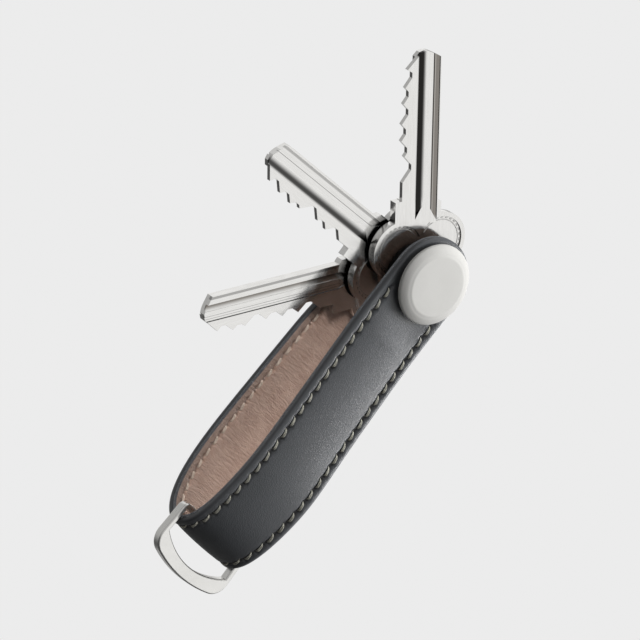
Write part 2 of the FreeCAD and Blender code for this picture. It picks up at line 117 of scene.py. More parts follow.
def cut_away(piece, cutter):
    """Cuts a closed shape out of a piece, and removes the shape."""
    work = bmesh.new()
    work.from_mesh(cutter.data)
    bmesh.ops.recalc_face_normals(work, faces=work.faces)
    work.to_mesh(cutter.data)
    work.free()
    cut = piece.modifiers.new("cut", "BOOLEAN")
    cut.operation, cut.solver, cut.object = "DIFFERENCE", "EXACT", cutter
    graph = bpy.context.evaluated_depsgraph_get()
    mesh = bpy.data.meshes.new_from_object(piece.evaluated_get(graph))
    piece.modifiers.clear()
    piece.data = mesh
    bpy.data.objects.remove(cutter)


# ---------------------------------------------------------------- shader helpers

def add_node(tree, kind, inputs=(), **settings):
    """A new shader node with its settings, and its inputs linked or set."""
    made = tree.nodes.new("ShaderNode" + kind)
    for key, value in settings.items():
        setattr(made, key, value)
    for key, value in dict(inputs).items():
        give(tree, made.inputs[key], value)
    return made


def give(tree, socket, value):
    """Links an input to another node's output, or sets it to a number or a colour."""
    if isinstance(value, bpy.types.NodeSocket):
        tree.links.new(value, socket)
    elif isinstance(value, tuple) and len(value) == 3 and socket.type == "RGBA":
        socket.default_value = (*value, 1.0)
    else:
        socket.default_value = value


class Shader:
    """A node material with short calls for the nodes used here."""

    def __init__(self, name):
        self.material = bpy.data.materials.new(name)
        self.material.use_nodes = True
        self.tree = self.material.node_tree
        self.surface = self.tree.nodes["Principled BSDF"]

    def node(self, kind, inputs=(), **settings):
        return add_node(self.tree, kind, inputs, **settings)

    def finish(self, **inputs):
        """The material, with the surface's inputs given."""
        for key, value in inputs.items():
            give(self.tree, self.surface.inputs[key.replace("_", " ")], value)
        return self.material

    def math(self, operation, first, second=0.0):
        return self.node("Math", {0: first, 1: second}, operation=operation).outputs[0]

    def ramp(self, value, low, high, out_low=0.0, out_high=1.0):
        """A smooth step of value from low to high."""
        inputs = {"Value": value, "From Min": low, "From Max": high,
                  "To Min": out_low, "To Max": out_high}
        return self.node("MapRange", inputs, interpolation_type="SMOOTHSTEP").outputs[0]

    def mix(self, share, first, second):
        """A colour between the first and the second."""
        made = self.node("Mix", {0: share, 6: first, 7: second}, data_type="RGBA")
        return made.outputs[2]

    def noise(self, where, scale, detail=2.0, roughness=0.5, distortion=0.0):
        inputs = {"Vector": where, "Scale": scale, "Detail": detail,
                  "Roughness": roughness, "Distortion": distortion}
        return self.node("TexNoise", inputs).outputs["Fac"]

    def cells(self, where, scale):
        """The distance to the nearest border of a pattern of small cells."""
        made = self.node("TexVoronoi", {"Vector": where, "Scale": scale},
                         feature="DISTANCE_TO_EDGE")
        return made.outputs["Distance"]

    def stretched(self, where, scale):
        return self.node("Mapping", {"Vector": where, "Scale": scale}).outputs[0]

    def bump(self, height, distance_mm, strength=1.0, after=None):
        inputs = {"Height": height, "Distance": distance_mm * MM, "Strength": strength}
        if after is not None:
            inputs["Normal"] = after
        return self.node("Bump", inputs).outputs[0]

    def place(self):
        """Millimetre coordinates that stay with the piece."""
        where = self.node("TexCoord").outputs["Object"]
        return self.stretched(where, (1 / MM,) * 3)

    def sheet(self):
        """Millimetre coordinates along and across the strap's surface."""
        where = self.node("UVMap", uv_map="sheet").outputs[0]
        return self.stretched(where, (1 / MM,) * 3)

    def attribute(self, name):
        return self.node("Attribute", attribute_name=name).outputs["Fac"]


# ---------------------------------------------------------------- materials

def leather_material():
    """Slate leather with a fine pebbled grain and a smooth painted edge, with painted shade in
    its seams and a painted highlight just inside its edge.
    """
    s = Shader("slate_leather")
    sheet = s.sheet()
    inset = s.attribute("inset")
    pebble = s.ramp(s.cells(sheet, 2.3), 0.0, 0.25)
    fine = s.noise(sheet, 5.5, 3.0, 0.6)
    broad = s.noise(sheet, 0.16, 3.0, 0.55)
    creases = s.noise(s.stretched(sheet, (0.35, 1.3, 1.0)), 1.1, 4.0, 0.65, 0.6)
    shade = s.math("ADD", s.math("MULTIPLY", broad, 0.55), s.math("MULTIPLY", fine, 0.45))
    face = s.mix(s.ramp(shade, 0.3, 0.7), (0.026, 0.030, 0.036), (0.037, 0.042, 0.050))
    face = s.mix(s.ramp(pebble, 0.0, 1.0, 0.25, 0.0), face, (0.018, 0.020, 0.023))
    # Painted highlight: a lighter band on the face just inside its rounded edge.
    edge_highlight = s.ramp(s.math("ADD", inset, s.math("MULTIPLY", fine, 0.5)), 0.75, 1.35, 0.35, 0.0)
    face = s.mix(edge_highlight, face, (0.15, 0.16, 0.17))
    paint = s.ramp(inset, 0.42, 0.62, 1.0, 0.0)
    edge = s.mix(s.noise(sheet, 0.9, 3.0), (0.047, 0.052, 0.060), (0.068, 0.074, 0.084))
    colour = s.mix(paint, face, edge)
    # Painted shade in the stitch grooves and needle holes, from how far the face sinks there.
    seam_shade = s.ramp(s.attribute("sunk"), 0.12, 0.6, 0.0, 0.85)
    colour = s.mix(seam_shade, colour, (0.012, 0.012, 0.013))
    unpainted = s.math("SUBTRACT", 1.0, paint)
    height = s.math("MULTIPLY", pebble, s.math("ADD", 0.35, s.math("MULTIPLY", fine, 0.9)))
    height = s.math("ADD", height, s.math("MULTIPLY", creases, 1.6))
    height = s.math("MULTIPLY", height, unpainted)
    waves = s.math("MULTIPLY", s.noise(sheet, 0.7, 2.0), paint)
    normal = s.bump(height, 0.04, 0.5)
    normal = s.bump(waves, 0.12, 0.4, normal)
    rough = s.math("ADD", 0.42, s.math("MULTIPLY", fine, 0.14))
    rough = s.math("SUBTRACT", rough, s.math("MULTIPLY", paint, 0.08))
    return s.finish(Base_Color=colour, Roughness=rough, Normal=normal,
                    Specular_IOR_Level=1.0, Sheen_Weight=0.05, Sheen_Roughness=0.5)


def lining_material():
    """Rose-tan lining leather with fine wrinkles, with painted shade and highlight on the
    wrinkles, and painted shade outside its stitch lines and in its seams.
    """
    s = Shader("rose_lining")
    sheet = s.sheet()
    inset = s.attribute("inset")
    fold = s.attribute("fold")
    wrinkles = s.noise(s.stretched(sheet, (1.0, 0.19, 1.0)), 2.0, 4.0, 0.55, 0.9)
    pores = s.ramp(s.cells(sheet, 3.0), 0.0, 0.18)
    blotch = s.noise(sheet, 0.22, 3.0, 0.6)
    face = s.mix(s.ramp(blotch, 0.3, 0.7), (0.41, 0.262, 0.196), (0.49, 0.33, 0.258))
    # Painted shade in the wrinkles' troughs and painted highlight on their crests.
    face = s.mix(s.ramp(wrinkles, 0.30, 0.48, 0.28, 0.0), face, (0.19, 0.115, 0.088))
    face = s.mix(s.ramp(wrinkles, 0.55, 0.75, 0.0, 0.25), face, (0.60, 0.46, 0.40))
    # Painted shade outside the stitch lines, where the lining curves towards its edge.
    margin_shade = s.ramp(inset, 1.9, 2.3, 0.55, 0.0)
    face = s.mix(margin_shade, face, (0.205, 0.145, 0.115))
    # Painted shade in the stitch grooves and needle holes.
    seam_shade = s.ramp(s.attribute("sunk"), 0.10, 0.40, 0.0, 0.45)
    face = s.mix(seam_shade, face, (0.10, 0.065, 0.05))
    paint = s.ramp(inset, 0.18, 0.36, 1.0, 0.0)
    colour = s.mix(paint, face, (0.052, 0.057, 0.066))
    height = s.math("MULTIPLY", wrinkles, s.ramp(fold, 0.0, 1.0, 2.4, 5.5))
    height = s.math("ADD", height, s.math("MULTIPLY", pores, 0.5))
    normal = s.bump(height, 0.18, 1.0)
    rough = s.ramp(wrinkles, 0.3, 0.7, 0.46, 0.32)
    return s.finish(Base_Color=colour, Roughness=rough, Normal=normal,
                    Specular_IOR_Level=0.9, Sheen_Weight=0.1, Sheen_Roughness=0.4)


def thread_material(name, dark, light):
    """Waxed thread with fine fibres along it."""
    s = Shader(name)
    place = s.place()
    fibres = s.noise(place, 9.0, 3.0, 0.7)
    patches = s.noise(place, 0.9, 2.0)
    share = s.math("ADD", s.math("MULTIPLY", fibres, 0.7), s.math("MULTIPLY", patches, 0.3))
    colour = s.mix(s.ramp(share, 0.32, 0.68), dark, light)
    return s.finish(Base_Color=colour, Roughness=0.55, Normal=s.bump(fibres, 0.05, 0.8),
                    Sheen_Weight=0.3, Sheen_Roughness=0.5)


def cap_material():
    """A satin powder coat in warm light grey with a very fine texture."""
    s = Shader("warm_grey_coat")
    place = s.place()
    speckle = s.noise(place, 7.0, 3.0, 0.7)
    broad = s.noise(place, 0.25, 2.0)
    colour = s.mix(s.ramp(speckle, 0.35, 0.65), (0.76, 0.755, 0.73), (0.82, 0.815, 0.79))
    colour = s.mix(s.ramp(broad, 0.35, 0.65, 0.0, 0.25), colour, (0.73, 0.725, 0.70))
    rough = s.ramp(speckle, 0.3, 0.7, 0.42, 0.52)
    return s.finish(Base_Color=colour, Roughness=rough, Normal=s.bump(speckle, 0.02, 0.35),
                    Specular_IOR_Level=0.45)


def nickel_material(name, direction, front, rear, bands):
    """Nickel plate with fine lengthwise polishing lines, and painted shade in its grooves.

    The key lies along direction, between its front and rear faces. Shade is painted into the rear
    grooves, darker with their depth, and where ambient occlusion finds walls towards the bow. On
    the front face painted bands of shade, reflection and highlight lie over the grooves, as the
    reflections in a polished groove would, and the normals there all point to the front.
    """
    s = Shader(name)
    turned = s.node("VectorRotate", {"Vector": s.place(), "Angle": direction},
                    rotation_type="Y_AXIS").outputs[0]
    split = s.node("SeparateXYZ", {0: turned}).outputs
    offset = s.math("MULTIPLY", split["Z"], -1.0)
    depth = s.math("MINIMUM", s.math("SUBTRACT", split["Y"], front),
                   s.math("SUBTRACT", rear, split["Y"]))
    at_front = s.ramp(s.math("SUBTRACT", split["Y"], front), 0.9, 0.8)
    lines = s.noise(s.stretched(turned, (0.25, 1.0, 14.0)), 1.0, 4.0, 0.6)
    patches = s.noise(turned, 0.35, 3.0)
    scratches = s.noise(s.stretched(turned, (0.9, 1.0, 26.0)), 1.0, 2.0, 0.5)
    true_normal = s.node("NewGeometry").outputs["True Normal"]
    facing = s.math("ABSOLUTE", s.node("SeparateXYZ", {0: true_normal}).outputs["Y"])
    floor = s.math("MULTIPLY", s.ramp(facing, 0.7, 0.8), s.ramp(split["X"], 12.5, 13.5))
    at_rear = s.math("MULTIPLY", s.math("SUBTRACT", 1.0, at_front), floor)
    # Painted shade in the rear grooves, darker with their depth.
    groove = s.math("MULTIPLY", s.ramp(depth, 0.05, 0.45, 0.0, 0.9), at_rear)
    near = s.node("AmbientOcclusion", {"Distance": 4.0 * MM}, samples=8).outputs["AO"]
    # Painted shade where ambient occlusion finds nearby walls, towards the bow.
    ao_shade = s.math("MULTIPLY", s.ramp(near, 0.15, 0.80, 0.95, 0.0),
                   s.ramp(split["X"], 22.0, 15.0))
    colour = s.mix(s.ramp(lines, 0.3, 0.7), (0.80, 0.795, 0.78), (0.90, 0.895, 0.885))
    colour = s.mix(ao_shade, colour, (0.122, 0.127, 0.13))
    colour = s.mix(groove, colour, (0.05, 0.048, 0.046))
    begun = s.math("MAXIMUM", s.ramp(depth, 0.01, 0.06), s.ramp(split["X"], 15.5, 18.5))
    # Painted bands of shade, reflection and highlight over the front grooves.
    for start, full, end, none, share, shade in bands:
        band = s.math("MULTIPLY", s.ramp(offset, start, full), s.ramp(offset, none, end))
        band = s.math("MULTIPLY", band, s.ramp(split["X"], 11.5, 13.5, 0.0, share))
        band = s.math("MULTIPLY", band, begun)
        colour = s.mix(s.math("MULTIPLY", band, at_front), colour, shade)
    rough = s.math("ADD", s.ramp(patches, 0.3, 0.7, 0.10, 0.20),
                   s.math("MULTIPLY", groove, 0.12))
    height = s.math("ADD", lines, s.math("MULTIPLY", scratches, 0.5))
    ahead = s.node("VectorTransform", {0: (0.0, -1.0, 0.0)}, vector_type="NORMAL",
                   convert_from="OBJECT", convert_to="WORLD").outputs[0]
    usual = s.node("NewGeometry").outputs["Normal"]
    sloping = s.math("MULTIPLY", s.ramp(depth, 0.0, 0.02), s.math("MULTIPLY", at_front, floor))
    rolled = s.node("Mix", {0: sloping, 4: usual, 5: ahead}, data_type="VECTOR")
    normal = s.bump(height, 0.012, 0.25, rolled.outputs[1])
    return s.finish(Base_Color=colour, Metallic=1.0, Roughness=rough, Normal=normal)


def ring_material():
    """Satin steel, brushed, with a few dull patches."""
    s = Shader("satin_steel")
    place = s.place()
    brushed = s.noise(s.stretched(place, (0.5, 4.0, 0.5)), 1.2, 3.0, 0.6)
    patches = s.noise(place, 0.12, 2.0)
    colour = s.mix(s.ramp(patches, 0.3, 0.7), (0.84, 0.835, 0.815), (0.88, 0.875, 0.855))
    rough = s.ramp(brushed, 0.3, 0.7, 0.27, 0.33)
    return s.finish(Base_Color=colour, Metallic=1.0, Roughness=rough,
                    Normal=s.bump(brushed, 0.01, 0.12))


def turned_steel_material():
    """Turned steel with fine rings about the post."""
    s = Shader("turned_steel")
    place = s.place()
    split = s.node("SeparateXYZ", {0: place}).outputs
    radius = s.math("SQRT", s.math("ADD", s.math("POWER", split["X"], 2.0),
                                   s.math("POWER", split["Z"], 2.0)))
    rings = s.math("SINE", s.math("MULTIPLY", s.math("ADD", radius, split["Y"]), 40.0))
    patches = s.noise(place, 0.8, 3.0)
    colour = s.mix(patches, (0.42, 0.415, 0.40), (0.58, 0.57, 0.55))
    return s.finish(Base_Color=colour, Metallic=1.0, Roughness=0.28,
                    Normal=s.bump(rings, 0.01, 0.3))


def plain_material(name, dark, light, roughness):
    """Moulded plastic or rubber with a fine texture."""
    s = Shader(name)
    speckle = s.noise(s.place(), 5.0, 3.0, 0.6)
    colour = s.mix(s.ramp(speckle, 0.3, 0.7), dark, light)
    return s.finish(Base_Color=colour, Normal=s.bump(speckle, 0.02, 0.4),
                    Roughness=s.ramp(speckle, 0.3, 0.7, roughness - 0.06, roughness + 0.06))


def dress(node, material):
    """Gives a CAD node its material."""
    mesh = nodes[node].data
    mesh.materials.clear()
    mesh.materials.append(material)


def soften(node, width_mm, segments=3):
    """Breaks a CAD node's sharp edges, without touching its mesh."""
    piece = nodes[node]
    weld = piece.modifiers.new("weld", "WELD")
    weld.merge_threshold = 0.002 * MM
    flat = piece.modifiers.new("flat", "DECIMATE")
    flat.decimate_type = "DISSOLVE"
    flat.angle_limit = math.radians(1.0)
    bevel = piece.modifiers.new("bevel", "BEVEL")
    bevel.width = width_mm * MM
    bevel.segments = segments
    bevel.limit_method = "ANGLE"
    bevel.angle_limit = math.radians(30)
    bevel.harden_normals = True


# ---------------------------------------------------------------- strap

PATH_STEP = 0.2
FOLD_HEIGHT = 14.0          # under this height over its lowest point the strap turns round
PROFILE_DIGITS = 3
CURVE_WINDOW = 17           # points over which the direction of the middle line is evened out

# Outer and inner corner rounds of the two layers.
LEATHER_ROUNDS = (0.62, 0.14)
LINING_ROUNDS = (0.14, 0.42)
COLUMN_STEP, FINE_STEP, FINE_REACH = 0.6, 0.15, 1.05
POST_HOLE_RADIUS = 3.1

# The front panel bows out above the fold, most of all at its right edge.
BELLY_ABOVE_FOLD = 22.0
BELLY_REACH = 13.0
BELLY_RISE = 0.9

# A stitch is two strands side by side that slant across the seam into needle holes.
STITCH_PITCH = 3.1
STITCH_HALF = 1.08
STITCH_SLANT = 0.24
THREAD_RADIUS = 0.13
STRAND_SPREAD = 0.19
OUTER_LIFT, LINING_LIFT = 0.06, 0.08
UNEVEN_SLANT, UNEVEN_PLACE, UNEVEN_TWIST = 0.02, 0.03, 0.1
STRAND_TWIST = 0.35
THREAD_SIDES, THREAD_RINGS = 8, 15

# The seams are pressed in along the stitches, and the leather swells between and beside them.
GROOVE_WIDTH = 0.42
STITCH_GROOVE, HOLE_DEPTH = 0.32, 0.62
LINING_GROOVE, LINING_HOLE_DEPTH = 0.12, 0.3
HOLE_RADIUS = 0.45
CUSHION_RISE = 0.75
CUSHION_MARGIN = 0.25
CUSHION_FADE = 9.0
FLATTENED_BY_FOLD, FOLD_REACH = 0.65, 11.0
RIM_RISE, RIM_FROM_SEAM, RIM_HALF_WIDTH = 0.12, 1.05, 0.95

# The lining is wrinkled across, most of all inside the fold.
WRINKLE_DEPTH, WRINKLE_REACH = 0.13, 15.0
WRINKLES_ALONG, WRINKLES_ACROSS = 0.85, 0.16
CREASED_REACH = 16.0


def outer_profile():
    """The leather's outer face in the YZ plane as points, from its front end to its rear end."""
    mesh = nodes["strap_leather"].data
    fold_top = box_mm("strap_leather")[0].z + FOLD_HEIGHT
    found = set()
    for face in mesh.polygons:
        centre, normal = face.center / MM, face.normal
        outward = Vector((0, centre.y, min(0, centre.z - fold_top)))
        if abs(normal.x) > 0.5 or normal.dot(outward) <= 0:
            continue
        for index in face.vertices:
            point = mesh.vertices[index].co / MM
            if point.x > HALF_WIDTH - 0.001:
                found.add((round(point.y, PROFILE_DIGITS), round(point.z, PROFILE_DIGITS)))
    lowest = min(found, key=lambda p: p[1])
    front = sorted((p for p in found if p[0] < lowest[0]), key=lambda p: -p[1])
    rear = sorted((p for p in found if p[0] >= lowest[0]), key=lambda p: p[1])
    return front + rear


def smooth_path(points, step):
    """Even points along a smooth curve through the given points."""
    points = np.array(points)
    spans = np.linalg.norm(np.diff(points, axis=0), axis=1)
    at = np.concatenate(([0.0], np.cumsum(spans)))
    slopes = np.gradient(points, at, axis=0)
    wanted = np.linspace(0, at[-1], int(round(at[-1] / step)) + 1)
    left = np.clip(np.searchsorted(at, wanted) - 1, 0, len(spans) - 1)
    span = spans[left][:, None]
    t = ((wanted - at[left]) / spans[left])[:, None]
    return (points[left] * (2 * t**3 - 3 * t**2 + 1)
            + slopes[left] * span * (t**3 - 2 * t**2 + t)
            + points[left + 1] * (3 * t**2 - 2 * t**3)
            + slopes[left + 1] * span * (t**3 - t**2))


class Strap:
    """The strap's middle line, and where a point of its surface is."""

    def __init__(self):
        self.line = smooth_path(outer_profile(), PATH_STEP)
        spans = np.linalg.norm(np.diff(self.line, axis=0), axis=1)
        self.along = np.concatenate(([0.0], np.cumsum(spans)))
        tangent = np.gradient(self.line, self.along, axis=0)
        window = np.hanning(CURVE_WINDOW)[1:-1]
        window /= window.sum()
        half = len(window) // 2
        padded = np.pad(tangent, ((half, half), (0, 0)), mode="edge")
        tangent = np.stack([np.convolve(padded[:, k], window, "valid") for k in (0, 1)], axis=1)
        tangent /= np.linalg.norm(tangent, axis=1)[:, None]
        self.inward = np.stack([-tangent[:, 1], tangent[:, 0]], axis=1)
        self.length = self.along[-1]
        self.fold = self.along[np.argmin(self.line[:, 1])]

    def at(self, along, across, depth):
        """Points at a length along, an offset across and a depth under the outer face."""
        along, across, depth = np.broadcast_arrays(along, across, depth)
        spot = [np.interp(along, self.along, self.line[:, k]) for k in (0, 1)]
        into = [np.interp(along, self.along, self.inward[:, k]) for k in (0, 1)]
        depth = depth - self.belly(along, across)
        return np.stack([across, spot[0] + into[0] * depth, spot[1] + into[1] * depth], axis=-1)

    def belly(self, along, across):
        """How far the strap bows out at a place on its front panel."""
        place = (along - (self.fold - BELLY_ABOVE_FOLD)) / BELLY_REACH
        side = np.clip((across + HALF_WIDTH) / (2 * HALF_WIDTH), 0, 1.05)
        return BELLY_RISE * np.exp(-place**2) * side**1.6


def stitch_centres(strap):
    """Where each stitch's middle is, as lengths along the strap."""
    ends = strap.line[:, 1] < STITCH_TOP
    first, last = strap.along[ends][0], strap.along[ends][-1]
    count = int((last - first) / STITCH_PITCH)
    start = first + (last - first - count * STITCH_PITCH) / 2 + STITCH_PITCH / 2
    return start + STITCH_PITCH * np.arange(count)


def stitch_relief(along, across, centres, groove, hole):
    """How far a face sinks along its stitch lines and at the needle holes."""
    beside = np.abs(across) - STITCH_LINE
    live = smoothstep(centres[0] - STITCH_PITCH, centres[0], along)
    live = live * smoothstep(centres[-1] + STITCH_PITCH, centres[-1], along)
    sink = groove * np.exp(-((beside / GROOVE_WIDTH) ** 2)) * live
    nearest = np.round((along - centres[0]) / STITCH_PITCH - 0.5) + 0.5
    gap = along - (centres[0] + nearest * STITCH_PITCH)
    inside = STITCH_PITCH / 2 - STITCH_HALF
    for end in (-1, 1):
        away = gap - end * inside
        slant = -end * STITCH_SLANT
        middle = np.where(across < 0, -STITCH_LINE, STITCH_LINE)
        pit = (away**2 + (across - middle - slant) ** 2) / HOLE_RADIUS**2
        sink = sink + hole * np.exp(-pit) * live
    return sink


def section_columns(rounds, top, bottom):
    """A layer's section as (across, depth, faces out, faces in), once round from the left."""
    outer_round, inner_round = rounds
    outer_edge, inner_edge = HALF_WIDTH - outer_round, HALF_WIDTH - inner_round
    first_fine, last_fine = STITCH_LINE - FINE_REACH, STITCH_LINE + FINE_REACH
    fine = np.arange(first_fine, last_fine + 0.01, FINE_STEP)
    right = np.concatenate([np.arange(0, first_fine - FINE_STEP, COLUMN_STEP), fine])
    right_top = np.append(right[right < outer_edge - 0.1], outer_edge)
    face_top = np.concatenate([-right_top[:0:-1], right_top])
    corner = np.linspace(0, math.pi / 2, 7)[1:]
    side = [(outer_edge + outer_round * math.sin(a), top + outer_round * (1 - math.cos(a)), 0, 0)
            for a in corner]
    side += [(inner_edge + inner_round * math.cos(a),
              bottom - inner_round + inner_round * math.sin(a), 0, 0) for a in corner[:-1]]
    right_bottom = np.append(right[right < inner_edge - 0.1], inner_edge)
    face_bottom = np.concatenate([-right_bottom[:0:-1], right_bottom])[::-1]
    loop = [(x, top, 1, 0) for x in face_top] + side
    loop += [(x, bottom, 0, 1) for x in face_bottom]
    loop += [(-x, depth, out, inn) for x, depth, out, inn in reversed(side)]
    return np.array(loop)


def strap_layer(name, strap, columns, relief, body):
    """One layer of the strap: the strip round the fold, and a round end about the post."""
    across, depth = columns[:, 0], columns[:, 1]
    rows = len(strap.along)
    along = strap.along[:, None]
    sink, seam_shade = relief(along, across[None, :])
    depths = depth + sink * columns[:, 2] - sink * columns[:, 3]
    strip = strap.at(along, across[None, :], depths)
    loop = np.concatenate(([0.0], np.cumsum(np.hypot(np.diff(across), np.diff(depth)))))
    points = [strip.reshape(-1, 3)]
    sheet = [np.stack(np.broadcast_arrays(along, loop[None, :]), axis=-1).reshape(-1, 2)]
    inset = [np.broadcast_to(HALF_WIDTH - np.abs(across), (rows, len(across))).reshape(-1)]
    on_face = columns[:, 2] + columns[:, 3]
    # How far the seams sink, which the materials turn into painted shade.
    sunk = [np.broadcast_to(seam_shade * on_face, (rows, len(across))).reshape(-1)]
    faces = grid_faces(rows, len(columns))

    half = np.flatnonzero(across >= -1e-9)
    turns = np.radians(np.linspace(0, 180, 73))
    for end, (row, towards) in enumerate(((0, -1), (rows - 1, 1))):
        first = sum(len(p) for p in points)
        flat_y = strap.line[row, 0]
        radius, deep = across[half][None, :], depths[row, half][None, :]
        x = radius * np.cos(turns)[:, None]
        z = strap.line[row, 1] + radius * np.sin(turns)[:, None]
        y = np.broadcast_to(flat_y + strap.inward[row, 0] * deep, x.shape)
        points.append(np.stack([x, y, z], axis=-1).reshape(-1, 3))
        run = strap.along[row] + towards * radius * np.sin(turns)[:, None]
        sheet.append(np.stack([run, x], axis=-1).reshape(-1, 2))
        inset.append(np.broadcast_to(HALF_WIDTH - radius, x.shape).reshape(-1))
        sunk.append(np.zeros(x.size))
        quads = grid_faces(len(turns), len(half), first)
        faces += quads if towards > 0 else [tuple(reversed(q)) for q in quads]
    points, sheet, inset, sunk = (np.concatenate(part) for part in (points, sheet, inset, sunk))

    piece = add_piece(name, points, faces, body)
    mesh = piece.data
    layer = mesh.uv_layers.new(name="sheet")
    corner_vertex = np.empty(len(mesh.loops), int)
    mesh.loops.foreach_get("vertex_index", corner_vertex)
    layer.data.foreach_set("uv", (sheet[corner_vertex] * MM).ravel())
    mesh.attributes.new("inset", "FLOAT", "POINT").data.foreach_set("value", inset)
    mesh.attributes.new("sunk", "FLOAT", "POINT").data.foreach_set("value", sunk)
    folded = np.exp(-(((sheet[:, 0] - strap.fold) / CREASED_REACH) ** 2))
    mesh.attributes.new("fold", "FLOAT", "POINT").data.foreach_set("value", folded)
    weld_and_drill(piece)
    return piece


def weld_and_drill(piece):
    """Joins the ends to the strip and cuts the hole for the post."""
    work = bmesh.new()
    work.from_mesh(piece.data)
    bmesh.ops.remove_doubles(work, verts=work.verts, dist=0.004 * MM)
    bmesh.ops.dissolve_degenerate(work, edges=work.edges, dist=0.001 * MM)
    bmesh.ops.recalc_face_normals(work, faces=work.faces)
    work.to_mesh(piece.data)
    work.free()
    turns = np.radians(np.arange(0, 360, 5))
    ring = POST_HOLE_RADIUS * np.stack([np.cos(turns), 0 * turns, np.sin(turns)], axis=-1)
    count = len(ring)
    reach = np.array([0, 3 * STRAP_THICKNESS + 8, 0])
    drill_points = np.concatenate([ring - reach, ring + reach])
    drill_faces = grid_faces(2, count)
    drill_faces += [tuple(range(count))[::-1], tuple(range(count, 2 * count))]
    cut_away(piece, add_piece("drill", drill_points, drill_faces, "strap"))


def leather_relief(strap, centres):
    """The leather's outer face: seams pressed in, a cushion between them and a swell beside."""
    def relief(along, across):
        sink = stitch_relief(along, across, centres, STITCH_GROOVE, HOLE_DEPTH)
        middle = np.clip(1 - (across / (STITCH_LINE - CUSHION_MARGIN)) ** 2, 0, 1) ** 0.9
        live = smoothstep(centres[0], centres[0] + CUSHION_FADE, along)
        live = live * smoothstep(centres[-1], centres[-1] - CUSHION_FADE, along)
        from_fold = (along - strap.fold) / FOLD_REACH
        live = live * (1 - FLATTENED_BY_FOLD * np.exp(-(from_fold**2)))
        beside = (np.abs(across) - STITCH_LINE - RIM_FROM_SEAM) / RIM_HALF_WIDTH
        rim = np.clip(1 - beside**2, 0, 1) ** 0.7
        return sink - (CUSHION_RISE * middle + RIM_RISE * rim) * live, sink
    return relief


def lining_relief(strap, centres):
    """The lining's inner face: shallow seams, and wrinkles across it near the fold."""
    def relief(along, across):
        sink = stitch_relief(along, across, centres, LINING_GROOVE, LINING_HOLE_DEPTH)
        near = np.exp(-(((along - strap.fold) / WRINKLE_REACH) ** 2))
        flat = np.broadcast_arrays(along, across)
        waves = np.array([
            noise.noise(Vector((a * WRINKLES_ALONG, b * WRINKLES_ACROSS, SEED)))
            for a, b in zip(flat[0].ravel(), flat[1].ravel())
        ]).reshape(flat[0].shape)
        return sink - WRINKLE_DEPTH * waves * near, sink
    return relief


def stitches(name, strap, centres, face_depth, outward, body, lift):
    """Separate stitches of two strands side by side, sunk into their needle holes."""
    points, faces = [], []
    steps = np.linspace(-1, 1, THREAD_RINGS)
    turns = np.linspace(0, 2 * math.pi, THREAD_SIDES, endpoint=False)
    rng = np.random.default_rng(SEED)
    for side in (-1, 1):
        for centre in centres:
            tilt, shift = rng.normal(0, UNEVEN_SLANT), rng.normal(0, UNEVEN_PLACE)
            along = centre + steps * STITCH_HALF
            across = side * STITCH_LINE + (STITCH_SLANT + tilt) * steps * outward + shift
            rise = lift - (lift + HOLE_DEPTH * 0.75) * np.abs(steps) ** 4
            spread = STRAND_SPREAD * np.sqrt(1 - 0.9 * steps**2)
            for strand in (-1, 1):
                lean = rng.normal(0, UNEVEN_TWIST) + STRAND_TWIST * steps
                middle_across = across + strand * spread * np.cos(lean)
                middle_rise = rise + strand * spread * np.sin(lean)
                first = len(points) * len(turns)
                for k in range(len(steps)):
                    wide = THREAD_RADIUS * np.cos(turns)
                    high = THREAD_RADIUS * np.sin(turns)
                    depth = face_depth - outward * (middle_rise[k] + high)
                    points.append(strap.at(along[k], middle_across[k] + wide, depth))
                faces += grid_faces(len(steps), len(turns), first)
                last = first + (len(steps) - 1) * len(turns)
                faces.append(tuple(range(first, first + len(turns))))
                faces.append(tuple(range(last, last + len(turns)))[::-1])
    return add_piece(name, np.concatenate(points), faces, body)


def build_strap():
    """The leather, the lining and their stitches, as the outside pieces and the lining's."""
    strap = Strap()
    centres = stitch_centres(strap)
    outer = section_columns(LEATHER_ROUNDS, 0.0, LEATHER_THICKNESS)
    leather = strap_layer("leather_strap", strap, outer, leather_relief(strap, centres),
                          "strap")
    leather.data.materials.append(leather_material())
    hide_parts("strap_leather")
    inner = section_columns(LINING_ROUNDS, LEATHER_THICKNESS + GLUE_LINE, STRAP_THICKNESS)
    lining = strap_layer("lining_strap", strap, inner, lining_relief(strap, centres),
                         "strap")
    lining.data.materials.append(lining_material())
    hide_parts("strap_lining")

    outside = stitches("outer_stitches", strap, centres, 0.0, 1, "strap",
                       OUTER_LIFT)
    outside.data.materials.append(thread_material("olive_thread", (0.26, 0.25, 0.20),
                                                  (0.60, 0.59, 0.51)))
    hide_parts("outer_thread_left", "outer_thread_right")
    inside = stitches("lining_stitches", strap, centres, STRAP_THICKNESS, -1, "strap",
                      LINING_LIFT)
    inside.data.materials.append(thread_material("tan_thread", (0.34, 0.26, 0.20),
                                                 (0.62, 0.51, 0.42)))
    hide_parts("lining_thread_left", "lining_thread_right")
    return (leather, outside), (lining, inside)


# ---------------------------------------------------------------- caps

# A cap has a flat face, a bevel that steepens outward, a rounded rim and a neck behind the rim.
FLAT_SHARE, BEVEL_SHARE = 0.745, 0.97       # of the cap's radius
BEVEL_DROP_SHARE = 0.40                     # of the cap's thickness
BEVEL_STEEPENING = 1.4
CREASE = 0.35
NECK_HEIGHT, NECK_INSET = 0.9, 0.9
LEAST_WALL = 0.2
SEAT_GAP, LOCK_RING_GAP, FLANGE_SEAT = 0.05, 0.02, 1.0
SHARP_FOLD = math.radians(40)
